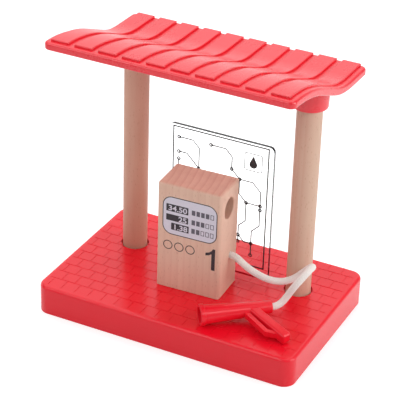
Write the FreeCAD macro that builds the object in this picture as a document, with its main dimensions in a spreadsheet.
import FreeCAD, Part

import math
import os
from types import SimpleNamespace

import Sketcher
from FreeCAD import Placement, Rotation, Vector

# A toy service station for a wooden railway.
# X runs along the long side, Y away from the viewer and Z up. The origin is at the middle of
# the base's underside. Lengths are in millimetres and angles in degrees.

DIMENSIONS = [
    # Base moulding
    ("base_length", 155, "outer size of the base along X"),
    ("base_depth", 101, "outer size of the base along Y"),
    ("base_height", 17.5, "top of the deck above the table"),
    ("base_corner", 7, "radius of the upright corners"),
    ("base_edge", 2, "radius of the deck's outer edge"),
    ("base_foot_edge", 0.5, "radius of the outer edge on the table"),
    ("base_wall", 2.5, "thickness of the side walls"),
    ("deck_thickness", 3, "thickness of the deck"),
    ("rib_thickness", 1.6, "thickness of the ribs and of the slot's walls"),
    ("rib_depth", 4, "how far the ribs hang below the deck"),
    ("front_rib_y", -25, "place of the front rib"),
    # Paving
    ("brick_length", 8.35, "spacing of the short joints"),
    ("brick_depth", 8.13, "spacing of the long joints"),
    ("brick_side_margin", 3.2, "plain border at both ends of the deck"),
    ("brick_front_margin", 3, "plain border along the deck's front and back"),
    ("brick_start", 2.65, "first short joint from the end of the long joints"),
    ("joint_width", 0.5, "width of a joint"),
    ("joint_depth", 0.2, "depth of a joint"),
    # Posts
    ("post_radius", 7, "round beech dowel"),
    ("post_length", 137, "length of a post"),
    ("post_spacing", 103, "distance between the posts' axes"),
    ("post_y", 16.4, "place of the posts behind the middle"),
    ("post_chamfer", 0.6, "chamfer at both ends of a post"),
    ("socket_clearance", 0.08, "radial clearance of a post in its sockets"),
    ("socket_floor", 2.5, "thickness of the floor under a post"),
    ("boss_foot", 3, "underside of a post's boss above the table"),
    ("boss_wall", 2.92, "wall of the boss round a post's socket"),
    ("recess_gap", 1, "radial gap of the sunk ring round a post"),
    ("recess_depth", 2, "depth of the sunk ring"),
    # Screws
    ("screw_radius", 1.75, "shank of the screws"),
    ("screw_head_radius", 3.5, "pan head"),
    ("screw_head_height", 2.2, "pan head"),
    ("screw_head_side", 1.32, "upright side of the pan head"),
    ("screw_crown_radius", 2.45, "flat crown of the pan head"),
    ("screw_point", 2.5, "length of the pointed end"),
    ("screw_tip_radius", 0.3, "blunt tip of the point"),
    ("screw_cross_width", 0.9, "width of the cross recess"),
    ("screw_cross_length", 4.2, "length of the cross recess"),
    ("screw_cross_depth", 1.1, "depth of the cross recess"),
    ("post_screw_length", 16, "length under the head"),
    ("pump_screw_length", 25, "length under the head"),
    ("pilot_clearance", 0.05, "radial clearance of the pilot holes"),
    ("screw_hole_clearance", 0.25, "radial clearance of the holes in plastic"),
    # Roof moulding
    ("roof_length", 140.7, "size of the roof along X"),
    ("roof_front", 50.5, "front edge in front of the middle"),
    ("roof_back", 47.2, "back edge behind the middle"),
    ("roof_front_rise", 19.1, "underside of the front edge above the tops of the posts"),
    ("crest_radius", 92.6, "underside radius of the wave's crest"),
    ("valley_radius", 65.7, "underside radius of the wave's valley"),
    ("slope_angle", 23, "steepest slope of the wave"),
    ("slope_run", 18.5, "straight stretch between crest and valley"),
    ("tail_angle", 1.4, "slope of the straight tail"),
    ("roof_thickness", 4.3, "thickness at the lip"),
    ("roof_skin", 2.2, "thickness inside the lip"),
    ("roof_lip", 2.2, "width of the lip round the underside"),
    ("roof_corner", 3.5, "plan radius of the roof's corners"),
    ("roof_edge", 1.6, "radius of the roof's upper edge"),
    ("roof_under_edge", 0.9, "radius of the roof's lower edge"),
    ("strip_count", 10, "raised strips"),
    ("strip_pitch", 13.72, "spacing of the strips"),
    ("strip_width", 10.3, "width of a strip"),
    ("strip_height", 1.25, "height of a strip"),
    ("strip_front_inset", 2.9, "front edge of the roof to a strip"),
    ("strip_back_inset", 1.2, "back edge of the roof to a strip"),
    ("strip_edge", 0.5, "radius of a strip's upper edge"),
    ("collar_reach", 11.3, "how far the roof's collars reach down the posts"),
    ("collar_wall", 2.67, "wall of a collar at its mouth"),
    ("collar_draft", 2.6, "widening of a collar towards the roof"),
    ("collar_edge", 0.6, "outer radius at a collar's mouth"),
    ("roof_rib_depth", 4, "how far the rib between the collars hangs below the post tops"),
    # Clear panel
    ("panel_width", 63.5, "width of the sheet"),
    ("panel_height", 89.9, "height of the sheet"),
    ("panel_thickness", 2, "thickness of the sheet"),
    ("panel_corner", 3, "radius of the upper corners"),
    ("panel_shift", 1.3, "middle of the sheet to the right of the middle"),
    ("panel_y", 16.5, "plane of the sheet"),
    ("slot_depth", 6.5, "how deep the sheet stands in the deck"),
    ("slot_end_clearance", 1.75, "room at each end of the slot"),
    ("slot_side_clearance", 0.3, "room on each side of the sheet"),
    # Pump block
    ("pump_width", 37.7, "size of the block along its front"),
    ("pump_depth", 24, "size from front to back"),
    ("pump_height", 65.2, "height of the block"),
    ("pump_corner", 1.6, "radius of the block's upright edges"),
    ("pump_edge", 1.5, "radius of the block's upper edges"),
    ("pump_foot_edge", 0.4, "radius of the block's lower edges"),
    ("pump_x", -1.4, "middle of the block"),
    ("pump_y", -4.75, "middle of the block"),
    ("pump_turn", 2.5, "the block stands turned by this much"),
    ("pump_boss_wall", 2.5, "wall of the boss round the pump's screw"),
    ("pump_boss_foot", 10, "underside of that boss above the table"),
    ("holster_y", -1.05, "bore for the nozzle, from the block's middle"),
    ("holster_height", 52.7, "bore for the nozzle, above the deck"),
    ("holster_depth", 26, "depth of the bore"),
    ("holster_clearance", 0.1, "radial clearance of the nozzle's rim"),
    ("holster_chamfer", 0.4, "chamfer at the mouth of the bore"),
    ("cord_hole_y", 2.55, "hole for the cord, from the block's middle"),
    ("cord_hole_height", 21.35, "hole for the cord, above the deck"),
    ("cord_hole_depth", 12, "depth of the hole"),
    ("cord_hole_clearance", 0.25, "radial clearance of the cord in the hole"),
    # Nozzle moulding, in its own frame: X from the mouth to the rear, which is at zero
    ("nozzle_length", 40, "mouth to rear"),
    ("rim_radius", 6, "rim round the mouth"),
    ("rim_length", 2.6, "length of the rim"),
    ("rim_edge", 0.5, "radius of the rim's edges"),
    ("rear_edge", 0.8, "radius of the edge at the barrel's rear"),
    ("barrel_radius", 5.45, "barrel behind the rim"),
    ("barrel_rear_radius", 3.5, "barrel at the rear"),
    ("barrel_wall", 1.2, "wall of the barrel"),
    ("barrel_bore_depth", 16, "depth of the open mouth"),
    ("passage_clearance", 0.15, "radial clearance of the cord in the rear passage"),
    ("grip_start", -11.7, "where the grip leaves the barrel's axis"),
    ("grip_angle", 64, "angle between the grip and the barrel"),
    ("grip_length", 29.7, "length of the grip from the barrel's axis"),
    ("grip_width", 5.5, "width of the grip"),
    ("grip_thickness", 6, "thickness of the grip"),
    ("grip_edge", 1.2, "radius of the grip's edges"),
    ("guard_width", 2.4, "width of the trigger guard's bar"),
    ("guard_thickness", 3.2, "thickness of the trigger guard's bar"),
    ("guard_x", -15.1, "start of the guard, inside the barrel's wall"),
    ("guard_y", -3.4, "start of the guard, inside the barrel's wall"),
    ("guard_angle", 67.5, "angle of the guard's long bar"),
    ("guard_length", 17.9, "length of the guard's long bar"),
    ("guard_tip_angle", 27, "angle of the guard's short bar"),
    ("guard_tip_length", 6.6, "length of the guard's short bar"),
    ("nozzle_x", 50.38, "rear of the nozzle as it lies on the deck"),
    ("nozzle_y", -16.98, "rear of the nozzle as it lies on the deck"),
    ("nozzle_turn", 39.8, "direction of the barrel on the deck"),
    ("nozzle_pitch", -0.76, "the rear lies a little higher than the rim"),
    ("nozzle_roll", 7.4, "the grip's end hangs lower than the barrel"),
    ("nozzle_gap", 0.3, "clearance of the rim above the deck"),
    # Cord
    ("cord_radius", 2, "cotton cord"),
    ("knot_radius", 3.2, "knot in the barrel, across"),
    ("knot_half_length", 3.1, "knot in the barrel, along"),
]


class Term:
    """A number together with the formula that gives it from the named sizes."""

    def __init__(self, number, formula):
        self.number = number
        self.formula = formula

    def __add__(self, other):
        other = term(other)
        return Term(self.number + other.number, f"({self.formula} + {other.formula})")

    def __sub__(self, other):
        other = term(other)
        return Term(self.number - other.number, f"({self.formula} - {other.formula})")

    def __mul__(self, other):
        other = term(other)
        return Term(self.number * other.number, f"({self.formula} * {other.formula})")

    def __truediv__(self, other):
        other = term(other)
        return Term(self.number / other.number, f"({self.formula} / {other.formula})")

    def __radd__(self, other):
        return term(other) + self

    def __rsub__(self, other):
        return term(other) - self

    def __rmul__(self, other):
        return term(other) * self

    def __neg__(self):
        return term(-1) * self


def term(value):
    return value if isinstance(value, Term) else Term(value, repr(value))


def sine(angle):
    return Term(math.sin(math.radians(angle.number)), f"sin({angle.formula})")


def cosine(angle):
    return Term(math.cos(math.radians(angle.number)), f"cos({angle.formula})")


def square_root(value):
    return Term(math.sqrt(value.number), f"sqrt({value.formula})")


def whole_part(value):
    return Term(math.floor(value.number), f"floor({value.formula})")


document = FreeCAD.newDocument("ServiceStation")
table = document.addObject("Spreadsheet::Sheet", "Size")
size = SimpleNamespace()
for row, (name, number, meaning) in enumerate(DIMENSIONS, start=1):
    table.set(f"A{row}", name)
    table.set(f"B{row}", str(number))
    table.set(f"C{row}", meaning)
    table.setAlias(f"B{row}", name)
    setattr(size, name, Term(number, f"Size.{name}"))
document.recompute()

# Places that several pieces share
deck = size.base_height
deck_underside = size.base_height - size.deck_thickness
post_x = size.post_spacing / 2
post_foot = size.boss_foot + size.socket_floor
post_top = post_foot + size.post_length
roof_front_height = post_top + size.roof_front_rise
collar_foot = post_top - size.collar_reach
socket_radius = size.post_radius + size.socket_clearance
pilot_radius = size.screw_radius + size.pilot_clearance
screw_hole_radius = size.screw_radius + size.screw_hole_clearance
panel_foot = deck - size.slot_depth
pump_screw_reach = size.pump_screw_length - (deck - size.pump_boss_foot)
nozzle_rear_height = (
    deck + size.nozzle_gap
    + size.rim_radius * cosine(size.nozzle_pitch)
    - size.nozzle_length * sine(size.nozzle_pitch)
)


def bind(thing, path, value):
    """Gives a property its formula."""
    thing.setExpression(path, term(value).formula)


def place(thing, x=0, y=0, z=0, turn=None):
    """Puts a piece at bound coordinates, turned about the upright axis."""
    if turn is not None:
        thing.Placement = Placement(Vector(), Rotation(Vector(0, 0, 1), turn.number))
        bind(thing, "Placement.Rotation.Angle", turn)
    for axis, value in zip("xyz", (x, y, z)):
        bind(thing, f"Placement.Base.{axis}", value)


def new_body(label):
    return document.addObject("PartDesign::Body", label)


def origin_feature(body, role):
    return next(item for item in body.Origin.OriginFeatures if item.Role == role)


def new_sketch(body, name, plane, x=0, y=0, z=0, turn=None):
    """A drawing on one of the body's own planes, shifted along its own axes and turned."""
    sketch = body.newObject("Sketcher::SketchObject", name)
    sketch.AttachmentSupport = [(origin_feature(body, plane), "")]
    sketch.MapMode = "FlatFace"
    if turn is not None:
        sketch.AttachmentOffset = Placement(Vector(), Rotation(Vector(0, 0, 1), turn.number))
        bind(sketch, "AttachmentOffset.Rotation.Angle", turn)
    for axis, value in zip("xyz", (x, y, z)):
        bind(sketch, f"AttachmentOffset.Base.{axis}", value)
    return sketch


def pin(sketch, geometry, point, x, y):
    """Fixes a point of the drawing at two formulas."""
    for kind, value in (("DistanceX", term(x)), ("DistanceY", term(y))):
        row = sketch.addConstraint(Sketcher.Constraint(kind, -1, 1, geometry, point, value.number))
        bind(sketch, f"Constraints[{row}]", value)


def fix_radius(sketch, geometry, radius):
    row = sketch.addConstraint(Sketcher.Constraint("Radius", geometry, radius.number))
    bind(sketch, f"Constraints[{row}]", radius)


def outline(sketch, corners):
    """A closed outline of straight lines through corners given as pairs of values."""
    points = [Vector(term(x).number, term(y).number, 0) for x, y in corners]
    first = sketch.GeometryCount
    for start, end in zip(points, points[1:] + points[:1]):
        sketch.addGeometry(Part.LineSegment(start, end), False)
    for index in range(len(points)):
        following = first + (index + 1) % len(points)
        sketch.addConstraint(Sketcher.Constraint("Coincident", first + index, 2, following, 1))
    for index, (x, y) in enumerate(corners):
        pin(sketch, first + index, 1, x, y)


def rectangle(sketch, left, right, low, high):
    outline(sketch, [(left, low), (right, low), (right, high), (left, high)])


def centred_rectangle(sketch, width, depth):
    rectangle(sketch, -width / 2, width / 2, -depth / 2, depth / 2)


def circle(sketch, radius, x=0, y=0):
    centre = Vector(term(x).number, term(y).number, 0)
    index = sketch.addGeometry(Part.Circle(centre, Vector(0, 0, 1), radius.number), False)
    pin(sketch, index, 3, x, y)
    fix_radius(sketch, index, radius)


def add_feature(body, kind, name, sketch):
    feature = body.newObject(kind, name)
    feature.Profile = sketch
    return feature


def pad(body, sketch, name, length, both_sides=False, draft=None):
    """Adds material from the drawing, along its normal or to both sides."""
    feature = add_feature(body, "PartDesign::Pad", name, sketch)
    if both_sides:
        feature.SideType = "Symmetric"
    if draft is not None:
        bind(feature, "TaperAngle", draft)
    bind(feature, "Length", length)
    document.recompute()
    return feature


# Cubic millimetres that a cut takes away at least
LEAST_CUT = 1e-3


def pocket(body, sketch, name, depth, forward=False, both_sides=False):
    """Takes material away, against the drawing's normal unless forward."""
    volume = body.Shape.Volume
    feature = add_feature(body, "PartDesign::Pocket", name, sketch)
    feature.Reversed = forward
    if both_sides:
        feature.SideType = "Symmetric"
    bind(feature, "Length", depth)
    document.recompute()
    if not body.Shape.Volume < volume - LEAST_CUT:
        raise ValueError(f"{name} takes nothing away from {body.Label}")
    return feature


def revolve(body, sketch, name, axis, kind="PartDesign::Revolution"):
    feature = add_feature(body, kind, name, sketch)
    feature.ReferenceAxis = (sketch, [axis])
    feature.Angle = 360
    document.recompute()
    return feature


def dress_edges(body, kind, name, amount, chosen):
    """Rounds or chamfers the edges of the body's last feature for which chosen is true."""
    base = body.Tip
    edges = [f"Edge{i}" for i, edge in enumerate(base.Shape.Edges, start=1) if chosen(edge)]
    if not edges:
        raise ValueError(f"{name} finds no edge on {body.Label}")
    feature = body.newObject(kind, name)
    feature.Base = (base, edges)
    bind(feature, "Radius" if kind.endswith("Fillet") else "Size", amount)
    document.recompute()
    return feature


def round_edges(body, name, radius, chosen):
    return dress_edges(body, "PartDesign::Fillet", name, radius, chosen)


def chamfer_edges(body, name, amount, chosen):
    return dress_edges(body, "PartDesign::Chamfer", name, amount, chosen)


def repeat(body, feature, name, pitch, count, direction):
    """Repeats a feature along an axis of its own drawing."""
    pattern = body.newObject("PartDesign::LinearPattern", name)
    pattern.Originals = [feature]
    pattern.Direction = (feature.Profile[0], [direction])
    bind(pattern, "Length", pitch * (count - 1))
    bind(pattern, "Occurrences", count)
    body.Tip = pattern
    document.recompute()
    return pattern


def repeat_both_ways(body, feature, name, steps):
    """Repeats a feature in rows and columns: steps gives pitch, count and direction of each."""
    grid = body.newObject("PartDesign::MultiTransform", name)
    grid.Originals = [feature]
    grid.Refine = False
    patterns = []
    for number, (pitch, count, direction) in enumerate(steps, start=1):
        pattern = body.newObject("PartDesign::LinearPattern", f"{name}Step{number}")
        pattern.Direction = (feature.Profile[0], [direction])
        bind(pattern, "Length", pitch * (count - 1))
        bind(pattern, "Occurrences", count)
        patterns.append(pattern)
    grid.Transformations = patterns
    body.Tip = grid
    document.recompute()
    return grid


# Slack when a face or an edge is found by its place
SLACK = 0.01
# Least share of a face's normal along Z when the face counts as looking up or down
LEAST_TILT = 0.5


def near(number, target):
    return abs(number - target.number) < SLACK


def is_upright(edge):
    box = edge.BoundBox
    return box.XLength < SLACK and box.YLength < SLACK


def is_level(edge):
    return edge.BoundBox.ZLength < SLACK


def is_level_at(height):
    return lambda edge: is_level(edge) and near(edge.BoundBox.ZMin, height)


def is_ring_of(radius):
    """True for a whole circle of that radius round the X axis."""
    return lambda edge: edge.BoundBox.XLength < SLACK and near(edge.BoundBox.YLength / 2, radius)


def at_both_sides(x):
    return (("Left", -x), ("Right", x))


def make_base():
    """Hollow moulding: side walls, paved deck, bosses, ribs, post sockets and panel slot."""
    body = new_body("base_moulding")
    drawing = new_sketch(body, "Plan", "XY_Plane")
    centred_rectangle(drawing, size.base_length, size.base_depth)
    pad(body, drawing, "Block", size.base_height)
    round_edges(body, "UprightCorners", size.base_corner, is_upright)
    round_edges(body, "DeckEdge", size.base_edge, is_level_at(deck))
    round_edges(body, "FootEdge", size.base_foot_edge, is_level_at(term(0)))

    inner_length = size.base_length - 2 * size.base_wall
    inner_depth = size.base_depth - 2 * size.base_wall
    drawing = new_sketch(body, "HollowPlan", "XY_Plane")
    centred_rectangle(drawing, inner_length, inner_depth)
    pocket(body, drawing, "Hollow", deck_underside, forward=True)
    round_edges(
        body, "HollowCorners", size.base_corner - size.base_wall,
        lambda edge: is_upright(edge)
        and near(abs(edge.BoundBox.XMin), inner_length / 2)
        and near(abs(edge.BoundBox.YMin), inner_depth / 2),
    )
    add_ribs(body, inner_length + size.base_wall, inner_depth + size.base_wall)
    for side, x in at_both_sides(post_x):
        add_post_socket(body, side, x)
    add_panel_slot(body)
    add_pump_fixing(body)
    pave_deck(body)
    return body


def add_ribs(body, length, depth):
    foot = deck_underside - size.rib_depth
    for name, y in (("Front", size.front_rib_y), ("Back", size.post_y)):
        drawing = new_sketch(body, f"{name}RibPlan", "XY_Plane", y=y, z=foot)
        centred_rectangle(drawing, length, size.rib_thickness)
        pad(body, drawing, f"{name}Rib", size.rib_depth)
    for name, x in at_both_sides(post_x) + (("Middle", size.pump_x),):
        drawing = new_sketch(body, f"{name}RibPlan", "XY_Plane", x=x, z=foot)
        centred_rectangle(drawing, size.rib_thickness, depth)
        pad(body, drawing, f"{name}Rib", size.rib_depth)


def add_post_socket(body, side, x):
    """A boss under the deck, the post's socket in it, the sunk ring and the screw's hole."""
    drawing = new_sketch(body, f"{side}BossPlan", "XY_Plane", x=x, y=size.post_y, z=size.boss_foot)
    circle(drawing, socket_radius + size.boss_wall)
    pad(body, drawing, f"{side}Boss", deck_underside - size.boss_foot)
    drawing = new_sketch(body, f"{side}RingPlan", "XY_Plane", x=x, y=size.post_y, z=deck)
    circle(drawing, size.post_radius + size.recess_gap)
    pocket(body, drawing, f"{side}Ring", size.recess_depth)
    drawing = new_sketch(body, f"{side}SocketPlan", "XY_Plane", x=x, y=size.post_y, z=deck)
    circle(drawing, socket_radius)
    pocket(body, drawing, f"{side}Socket", deck - post_foot)
    drawing = new_sketch(body, f"{side}HolePlan", "XY_Plane", x=x, y=size.post_y, z=post_foot)
    circle(drawing, screw_hole_radius)
    pocket(body, drawing, f"{side}Hole", size.socket_floor)


def add_panel_slot(body):
    """The slot in which the clear panel stands, in a walled box under the deck."""
    slot_length = size.panel_width + 2 * size.slot_end_clearance
    slot_width = size.panel_thickness + 2 * size.slot_side_clearance
    box_foot = panel_foot - size.rib_thickness
    drawing = new_sketch(
        body, "SlotBoxPlan", "XY_Plane", x=size.panel_shift, y=size.panel_y, z=box_foot)
    centred_rectangle(
        drawing, slot_length + 2 * size.rib_thickness, slot_width + 2 * size.rib_thickness)
    pad(body, drawing, "SlotBox", deck_underside - box_foot)
    drawing = new_sketch(body, "SlotPlan", "XY_Plane", x=size.panel_shift, y=size.panel_y, z=deck)
    centred_rectangle(drawing, slot_length, slot_width)
    pocket(body, drawing, "Slot", size.slot_depth)


def add_pump_fixing(body):
    """The boss and hole for the screw that holds the pump block from below."""
    drawing = new_sketch(
        body, "PumpBossPlan", "XY_Plane", x=size.pump_x, y=size.pump_y, z=size.pump_boss_foot)
    circle(drawing, screw_hole_radius + size.pump_boss_wall)
    pad(body, drawing, "PumpBoss", deck_underside - size.pump_boss_foot)
    drawing = new_sketch(body, "PumpHolePlan", "XY_Plane", x=size.pump_x, y=size.pump_y, z=deck)
    circle(drawing, screw_hole_radius)
    pocket(body, drawing, "PumpHole", deck - size.pump_boss_foot)


def pave_deck(body):
    """Brick paving in running bond, engraved as long joints and two sets of short joints."""
    field_length = size.base_length - 2 * size.brick_side_margin
    field_depth = size.base_depth - 2 * size.brick_front_margin
    field_front = -field_depth / 2
    drawing = new_sketch(
        body, "LongJointPlan", "XY_Plane", y=field_front + size.brick_depth, z=deck)
    centred_rectangle(drawing, field_length, size.joint_width)
    joint = pocket(body, drawing, "LongJoint", size.joint_depth)
    long_count = whole_part(field_depth / size.brick_depth)
    repeat(body, joint, "LongJoints", size.brick_depth, long_count, "V_Axis")
    rows = long_count + 1
    for name, row, shift in (("Even", 0, term(0)), ("Odd", 1, size.brick_length / 2)):
        start = size.brick_start + shift
        drawing = new_sketch(
            body, f"{name}JointPlan", "XY_Plane",
            x=start - field_length / 2,
            y=field_front + size.brick_depth * (row + 0.5), z=deck)
        centred_rectangle(drawing, size.joint_width, size.brick_depth - size.joint_width)
        joint = pocket(body, drawing, f"{name}Joint", size.joint_depth)
        columns = whole_part((field_length - start) / size.brick_length) + 1
        row_pairs = whole_part((rows - row - 1) / 2) + 1
        repeat_both_ways(body, joint, f"{name}Joints", [
            (size.brick_length, columns, "H_Axis"),
            (2 * size.brick_depth, row_pairs, "V_Axis"),
        ])


def make_post(label, x):
    """A round beech post with chamfered ends and a pilot hole in its foot."""
    body = new_body(label)
    drawing = new_sketch(body, "Section", "XY_Plane")
    circle(drawing, size.post_radius)
    pad(body, drawing, "Dowel", size.post_length)
    chamfer_edges(body, "Ends", size.post_chamfer, is_level)
    drawing = new_sketch(body, "PilotPlan", "XY_Plane")
    circle(drawing, pilot_radius)
    pocket(body, drawing, "Pilot", size.post_screw_length, forward=True)
    place(body, x=x, y=size.post_y, z=post_foot)
    return body


def make_screw(label, length, x, y, seat):
    """A pan head screw, point up, with a cross recess. Its head's flat face is at seat."""
    body = new_body(label)
    head = size.screw_head_radius
    shank = size.screw_radius
    drop = -size.screw_head_height
    drawing = new_sketch(body, "Profile", "XZ_Plane")
    outline(drawing, [
        (0, drop), (size.screw_crown_radius, drop), (head, -size.screw_head_side), (head, 0),
        (shank, 0),
        (shank, length - size.screw_point), (size.screw_tip_radius, length), (0, length),
    ])
    revolve(body, drawing, "Turned", "V_Axis")
    for name, width, depth in (
        ("CrossLong", size.screw_cross_length, size.screw_cross_width),
        ("CrossWide", size.screw_cross_width, size.screw_cross_length),
    ):
        drawing = new_sketch(body, f"{name}Plan", "XY_Plane", z=drop)
        centred_rectangle(drawing, width, depth)
        pocket(body, drawing, name, size.screw_cross_depth, forward=True)
    place(body, x=x, y=y, z=seat)
    return body


def make_post_screws():
    """The two screws that hold the posts, one up each boss."""
    screws = [
        make_screw(f"{side.lower()}_post_screw", size.post_screw_length, x, size.post_y,
                   size.boss_foot)
        for side, x in at_both_sides(post_x)
    ]
    group = document.addObject("Part::Compound", "post_screws")
    group.Links = screws
    return group


def draw_wave_line(sketch, offset, start, end):
    """One line of the roof's wave, drawn from the underside's front edge as origin: a crest,
    a straight slope, a valley and a straight tail, all parallel to the underside at offset,
    between two distances from the front edge. Gives its first and last geometry."""
    crest = size.crest_radius + offset
    valley = size.valley_radius - offset
    steep_sine, steep_cosine = sine(size.slope_angle), cosine(size.slope_angle)
    tail_sine, tail_cosine = sine(size.tail_angle), cosine(size.tail_angle)
    crest_y = -size.crest_radius
    front_y = crest_y + square_root(crest * crest - term(start) * term(start))
    slope_x, slope_y = crest * steep_sine, crest_y + crest * steep_cosine
    foot_x = slope_x + size.slope_run * steep_cosine
    foot_y = slope_y - size.slope_run * steep_sine
    valley_x, valley_y = foot_x + valley * steep_sine, foot_y + valley * steep_cosine
    tail_x, tail_y = valley_x - valley * tail_sine, valley_y - valley * tail_cosine
    end_y = tail_y - (end - tail_x) * tail_sine / tail_cosine

    up = Vector(0, 0, 1)
    crest_centre = Vector(0, crest_y.number, 0)
    valley_centre = Vector(valley_x.number, valley_y.number, 0)
    front_angle = math.acos(term(start).number / crest.number)
    steep = math.radians(size.slope_angle.number)
    gentle = math.radians(size.tail_angle.number)
    crest_arc = sketch.addGeometry(Part.ArcOfCircle(
        Part.Circle(crest_centre, up, crest.number), math.pi / 2 - steep, front_angle), False)
    slope = sketch.addGeometry(Part.LineSegment(
        Vector(slope_x.number, slope_y.number, 0), Vector(foot_x.number, foot_y.number, 0)), False)
    valley_arc = sketch.addGeometry(Part.ArcOfCircle(
        Part.Circle(valley_centre, up, valley.number),
        math.pi * 1.5 - steep, math.pi * 1.5 - gentle), False)
    tail = sketch.addGeometry(Part.LineSegment(
        Vector(tail_x.number, tail_y.number, 0), Vector(end.number, end_y.number, 0)), False)

    for first, first_point, second, second_point in (
        (crest_arc, 1, slope, 1), (slope, 2, valley_arc, 1), (valley_arc, 2, tail, 1),
    ):
        sketch.addConstraint(
            Sketcher.Constraint("Coincident", first, first_point, second, second_point))
    fix_radius(sketch, crest_arc, crest)
    fix_radius(sketch, valley_arc, valley)
    pin(sketch, crest_arc, 2, start, front_y)
    pin(sketch, slope, 1, slope_x, slope_y)
    pin(sketch, slope, 2, foot_x, foot_y)
    pin(sketch, tail, 1, tail_x, tail_y)
    pin(sketch, tail, 2, end, end_y)
    return crest_arc, tail


def draw_wave_band(body, name, low, high, start, end, middle=0):
    """A closed band between two lines of the wave, in a plane square to X at middle."""
    sketch = new_sketch(
        body, name, "YZ_Plane", x=-size.roof_front, y=roof_front_height, z=middle)
    low_crest, low_tail = draw_wave_line(sketch, low, start, end)
    high_crest, high_tail = draw_wave_line(sketch, high, start, end)
    for low_geometry, high_geometry in ((low_crest, high_crest), (low_tail, high_tail)):
        side = sketch.addGeometry(Part.LineSegment(
            sketch.getPoint(low_geometry, 2), sketch.getPoint(high_geometry, 2)), False)
        sketch.addConstraint(Sketcher.Constraint("Coincident", side, 1, low_geometry, 2))
        sketch.addConstraint(Sketcher.Constraint("Coincident", side, 2, high_geometry, 2))
    return sketch


def make_collars():
    """The two collars that sit on the posts and the rib between them, cut off inside the
    roof's skin along its wave."""
    body = new_body("collars")
    body.AllowCompound = True
    height = roof_front_height - collar_foot
    for side, x in at_both_sides(post_x):
        drawing = new_sketch(
            body, f"{side}CollarPlan", "XY_Plane", x=x, y=size.post_y, z=collar_foot)
        circle(drawing, socket_radius + size.collar_wall)
        pad(body, drawing, f"{side}Collar", height, draft=size.collar_draft)
    rib_foot = post_top - size.roof_rib_depth
    drawing = new_sketch(body, "RoofRibPlan", "XY_Plane", y=size.post_y, z=rib_foot)
    centred_rectangle(drawing, size.post_spacing, size.rib_thickness)
    pad(body, drawing, "RoofRib", roof_front_height - rib_foot)
    roof_depth = size.roof_front + size.roof_back
    inside_skin = size.roof_thickness - size.roof_skin / 2
    drawing = draw_wave_band(
        body, "AboveRoof", inside_skin, inside_skin + height, term(0), roof_depth)
    pocket(body, drawing, "TrimToWave", size.roof_length + size.post_spacing, both_sides=True)
    round_edges(body, "Mouths", size.collar_edge, is_level_at(collar_foot))
    return body


def faces_across(shape, width, upward):
    """The faces as wide along X as given that look up, or those that look down."""
    found = []
    for face in shape.Faces:
        box = face.BoundBox
        low_u, high_u, low_v, high_v = face.ParameterRange
        normal = face.normalAt((low_u + high_u) / 2, (low_v + high_v) / 2)
        tilt = normal.z if upward else -normal.z
        if near(box.XLength, width) and tilt > LEAST_TILT:
            found.append(face)
    return found


def outline_of(faces):
    """Picks the edges that belong to only one of the faces: the outline round them all."""
    borders = [face.Edges for face in faces]

    def chosen(edge):
        return sum(any(edge.isSame(other) for other in border) for border in borders) == 1
    return chosen


def make_roof():
    """The wavy roof: a slab with a hollow underside and a lip, raised strips and two collars."""
    body = new_body("roof_moulding")
    roof_depth = size.roof_front + size.roof_back
    drawing = draw_wave_band(
        body, "SlabSection", term(0), size.roof_thickness, term(0), roof_depth)
    pad(body, drawing, "Slab", size.roof_length, both_sides=True)
    round_edges(body, "PlanCorners", size.roof_corner, is_upright)
    for name, radius, upward in (
        ("UpperEdge", size.roof_edge, True), ("LowerEdge", size.roof_under_edge, False),
    ):
        faces = faces_across(body.Tip.Shape, size.roof_length, upward)
        round_edges(body, name, radius, outline_of(faces))

    recess = size.roof_thickness - size.roof_skin
    drawing = draw_wave_band(
        body, "RecessSection", -size.roof_skin, recess,
        size.roof_lip, roof_depth - size.roof_lip)
    pocket(body, drawing, "Recess", size.roof_length - 2 * size.roof_lip, both_sides=True)

    first_strip = -size.strip_pitch * (size.strip_count - 1) / 2
    drawing = draw_wave_band(
        body, "StripSection", size.roof_thickness - size.roof_skin / 2,
        size.roof_thickness + size.strip_height, size.strip_front_inset,
        roof_depth - size.strip_back_inset, middle=first_strip)
    strip = pad(body, drawing, "Strip", size.strip_width, both_sides=True)
    repeat(body, strip, "Strips", size.strip_pitch, size.strip_count, "N_Axis")
    strip_tops = faces_across(body.Tip.Shape, size.strip_width, upward=True)
    round_edges(body, "StripEdges", size.strip_edge, outline_of(strip_tops))

    joined = body.newObject("PartDesign::Boolean", "WithCollars")
    joined.setObjects([make_collars()])
    joined.Type = "Fuse"
    document.recompute()
    for side, x in at_both_sides(post_x):
        drawing = new_sketch(
            body, f"{side}SocketPlan", "XY_Plane", x=x, y=size.post_y, z=collar_foot)
        circle(drawing, socket_radius)
        pocket(body, drawing, f"{side}Socket", post_top - collar_foot, forward=True)
    return body


def make_panel():
    """The clear sheet that stands in the deck's slot, with rounded upper corners."""
    body = new_body("clear_panel")
    drawing = new_sketch(body, "Front", "XZ_Plane")
    rectangle(drawing, -size.panel_width / 2, size.panel_width / 2, 0, size.panel_height)
    pad(body, drawing, "Sheet", size.panel_thickness, both_sides=True)
    round_edges(
        body, "UpperCorners", size.panel_corner,
        lambda edge: edge.BoundBox.XLength < SLACK and is_level_at(size.panel_height)(edge))
    place(body, x=size.panel_shift, y=size.panel_y, z=panel_foot)
    return body


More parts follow.
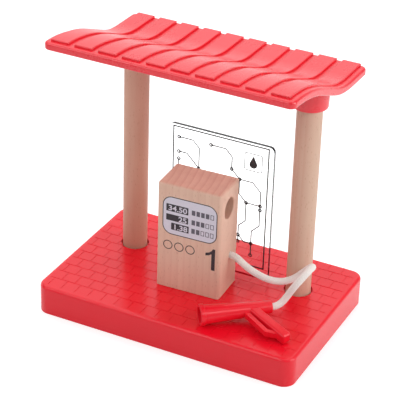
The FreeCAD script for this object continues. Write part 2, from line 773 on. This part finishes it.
def make_pump():
    """The beech block with the nozzle's bore and the cord's hole in its right face."""
    body = new_body("pump_block")
    drawing = new_sketch(body, "Plan", "XY_Plane")
    centred_rectangle(drawing, size.pump_width, size.pump_depth)
    pad(body, drawing, "Block", size.pump_height)
    round_edges(body, "Corners", size.pump_corner, is_upright)
    round_edges(body, "UpperEdges", size.pump_edge, is_level_at(size.pump_height))
    round_edges(body, "LowerEdges", size.pump_foot_edge, is_level_at(term(0)))
    right_face = size.pump_width / 2
    drawing = new_sketch(
        body, "HolsterPlace", "YZ_Plane", x=size.holster_y, y=size.holster_height, z=right_face)
    circle(drawing, size.rim_radius + size.holster_clearance)
    pocket(body, drawing, "Holster", size.holster_depth)
    chamfer_edges(
        body, "HolsterMouth", size.holster_chamfer,
        lambda edge: len(edge.Vertexes) == 1 and near(edge.BoundBox.XMin, right_face))
    drawing = new_sketch(
        body, "CordHolePlace", "YZ_Plane",
        x=size.cord_hole_y, y=size.cord_hole_height, z=right_face)
    circle(drawing, size.cord_radius + size.cord_hole_clearance)
    pocket(body, drawing, "CordHole", size.cord_hole_depth)
    drawing = new_sketch(body, "PilotPlan", "XY_Plane")
    circle(drawing, pilot_radius)
    pocket(body, drawing, "Pilot", pump_screw_reach, forward=True)
    place(body, x=size.pump_x, y=size.pump_y, z=deck, turn=size.pump_turn)
    return body


def barrel_outside(x):
    """Outer radius of the nozzle's barrel at a distance x in front of its rear."""
    widening = (size.barrel_radius - size.barrel_rear_radius) / (
        size.nozzle_length - size.rim_length)
    return size.barrel_rear_radius + x * widening


def make_nozzle():
    """One moulding: a tapered barrel with a rim, a rounded grip and a trigger guard."""
    body = new_body("nozzle_moulding")
    drawing = new_sketch(
        body, "GripPlan", "XY_Plane", x=size.grip_start, turn=-size.grip_angle)
    rectangle(drawing, 0, size.grip_length, -size.grip_width / 2, size.grip_width / 2)
    pad(body, drawing, "Grip", size.grip_thickness, both_sides=True)
    middle = -size.grip_length / 2 * sine(size.grip_angle)
    round_edges(
        body, "GripEdges", size.grip_edge,
        lambda edge: near(edge.Length, size.grip_length)
        or edge.BoundBox.YMax < middle.number)

    mouth = -size.nozzle_length
    rim_back = mouth + size.rim_length
    drawing = new_sketch(body, "BarrelProfile", "XY_Plane")
    outline(drawing, [
        (mouth, 0), (mouth, size.rim_radius), (rim_back, size.rim_radius),
        (rim_back, size.barrel_radius), (0, size.barrel_rear_radius), (0, 0),
    ])
    revolve(body, drawing, "Barrel", "H_Axis")
    round_edges(body, "RimEdges", size.rim_edge, is_ring_of(size.rim_radius))
    round_edges(body, "RearEdge", size.rear_edge, is_ring_of(size.barrel_rear_radius))
    add_guard(body)

    floor = mouth + size.barrel_bore_depth
    passage = size.cord_radius + size.passage_clearance
    drawing = new_sketch(body, "BoreProfile", "XY_Plane")
    outline(drawing, [
        (mouth, 0), (mouth, barrel_outside(-mouth) - size.barrel_wall),
        (floor, barrel_outside(-floor) - size.barrel_wall), (floor, passage),
        (0, passage), (0, 0),
    ])
    revolve(body, drawing, "Bore", "H_Axis", kind="PartDesign::Groove")
    body.Placement = nozzle_placement()
    return body


def add_guard(body):
    """The trigger guard: a long and a short bar from the barrel to the grip."""
    bar = size.guard_width / 2
    knee_x = size.guard_x + size.guard_length * cosine(size.guard_angle)
    knee_y = size.guard_y - size.guard_length * sine(size.guard_angle)
    for name, x, y, angle, length in (
        ("Long", size.guard_x, size.guard_y, size.guard_angle, size.guard_length),
        ("Short", knee_x, knee_y, size.guard_tip_angle, size.guard_tip_length),
    ):
        drawing = new_sketch(body, f"{name}GuardPlan", "XY_Plane", x=x, y=y, turn=-angle)
        rectangle(drawing, 0, length, -bar, bar)
        pad(body, drawing, f"{name}Guard", size.guard_thickness, both_sides=True)
    drawing = new_sketch(body, "KneePlan", "XY_Plane", x=knee_x, y=knee_y)
    circle(drawing, bar)
    pad(body, drawing, "Knee", size.guard_thickness, both_sides=True)


def nozzle_placement():
    """The nozzle as it lies: turned on the deck, resting on its rim, grip end low."""
    rotation = (
        Rotation(Vector(0, 0, 1), size.nozzle_turn.number)
        * Rotation(Vector(0, 1, 0), size.nozzle_pitch.number)
        * Rotation(Vector(1, 0, 0), size.nozzle_roll.number)
    )
    rear = Vector(size.nozzle_x.number, size.nozzle_y.number, nozzle_rear_height.number)
    return Placement(rear, rotation)


def make_cord_tail():
    """The glued end of the cord in the pump block's hole."""
    tail = document.addObject("Part::Cylinder", "cord_tail")
    bind(tail, "Radius", size.cord_radius)
    bind(tail, "Height", size.cord_hole_depth)
    pump = Placement(
        Vector(size.pump_x.number, size.pump_y.number, deck.number),
        Rotation(Vector(0, 0, 1), size.pump_turn.number))
    foot = Vector(
        (size.pump_width / 2 - size.cord_hole_depth).number,
        size.cord_hole_y.number, size.cord_hole_height.number)
    tail.Placement = pump * Placement(foot, Rotation(Vector(0, 1, 0), 90))
    return tail


def make_cord_knot():
    """The cord's end through the nozzle's passage, with the knot that holds it."""
    stub = document.addObject("Part::Cylinder", "cord_in_passage")
    knot = document.addObject("Part::Ellipsoid", "knot")
    along = Rotation(Vector(0, 1, 0), -90)
    knot_middle = size.nozzle_length - size.barrel_bore_depth + size.knot_half_length
    bind(stub, "Radius", size.cord_radius)
    bind(stub, "Height", knot_middle)
    stub.Placement = Placement(Vector(), along)
    for path, value in (
        ("Radius1", size.knot_half_length), ("Radius2", size.knot_radius),
        ("Radius3", size.knot_radius),
    ):
        bind(knot, path, value)
    knot.Placement = Placement(Vector(-knot_middle.number, 0, 0), along)
    joined = document.addObject("Part::MultiFuse", "cord_knot")
    joined.Shapes = [stub, knot]
    joined.Placement = nozzle_placement()
    return joined


# The cord's route from the pump block to the nozzle, chosen by hand
CORD_ROUTE = [
    (17.321, -1.38, 38.85), (20.339, -1.248, 38.85), (24.4, -2.0, 36.8), (29.3, -2.3, 34.1),
    (34.4, -1.7, 31.6), (39.5, -0.6, 29.6), (44.8, 1.1, 28.6), (49.9, 3.4, 29.2),
    (54.2, 5.9, 31.7), (57.5, 7.5, 35.2), (60.8, 7.3, 38.7), (63.7, 4.6, 41.9),
    (65.5, 0.3, 44.6), (65.6, -4.8, 45.2), (64.6, -9.3, 43.7), (62.5, -12.0, 40.4),
    (59.9, -12.3, 36.1), (57.4, -11.4, 31.4), (55.0, -12.5, 26.8), (52.593, -15.136, 24.368),
    (50.38, -16.98, 24.33),
]
ARC_SHARE = 0.45


def cord_wire():
    """Straight runs joined by tangent arcs, each as large as its two runs allow."""
    points = [Vector(*point) for point in CORD_ROUTE]
    edges, start = [], points[0]
    for before, corner, after in zip(points, points[1:], points[2:]):
        inward, outward = (corner - before), (after - corner)
        reach = ARC_SHARE * min(inward.Length, outward.Length)
        half_turn = inward.getAngle(outward) / 2
        radius = reach / math.tan(half_turn)
        inward.normalize()
        outward.normalize()
        arc_start, arc_end = corner - inward * reach, corner + outward * reach
        towards_centre = (outward - inward).normalize()
        arc_middle = corner + towards_centre * (radius / math.cos(half_turn) - radius)
        edges.append(Part.LineSegment(start, arc_start).toShape())
        edges.append(Part.Arc(arc_start, arc_middle, arc_end).toShape())
        start = arc_end
        print(f"cord turns {math.degrees(2 * half_turn):.1f} degrees, radius {radius:.1f}")
    edges.append(Part.LineSegment(start, points[-1]).toShape())
    return Part.Wire(edges)


def make_cord():
    wire = cord_wire()
    start = Vector(*CORD_ROUTE[0])
    section = Part.Wire(Part.Circle(
        start, Vector(*CORD_ROUTE[1]) - start, size.cord_radius.number).toShape())
    tube = wire.makePipeShell([section], True, False)
    expected = math.pi * size.cord_radius.number ** 2 * wire.Length
    print(f"cord length {wire.Length:.1f}, volume {tube.Volume:.1f}, expected {expected:.1f}")
    cord = document.addObject("Part::Feature", "cord")
    cord.Shape = tube
    return cord


def check_document(parts):
    """Stops when any object of the document failed or a piece has no sound shape."""
    document.recompute()
    for item in document.Objects:
        if "Invalid" in item.State or "Error" in item.State:
            raise ValueError(f"{item.Label} failed: {item.State}")
    for part in parts:
        if part.Shape.isNull() or not part.Shape.isValid():
            raise ValueError(f"{part.Label} has no sound shape")


parts = [
    make_base(),
    make_post("left_post", -post_x),
    make_post("right_post", post_x),
    make_post_screws(),
    make_roof(),
    make_panel(),
    make_pump(),
    make_screw(
        "pump_screw", size.pump_screw_length, size.pump_x, size.pump_y, size.pump_boss_foot),
    make_nozzle(),
    make_cord(),
    make_cord_tail(),
    make_cord_knot(),
]
check_document(parts)
os.makedirs("parts", exist_ok=True)
for part in parts:
    part.Shape.exportStep(f"parts/{part.Label}.step")
    print(f"{part.Label}: {len(part.Shape.Solids)} solids, {part.Shape.Volume:.1f} mm3")
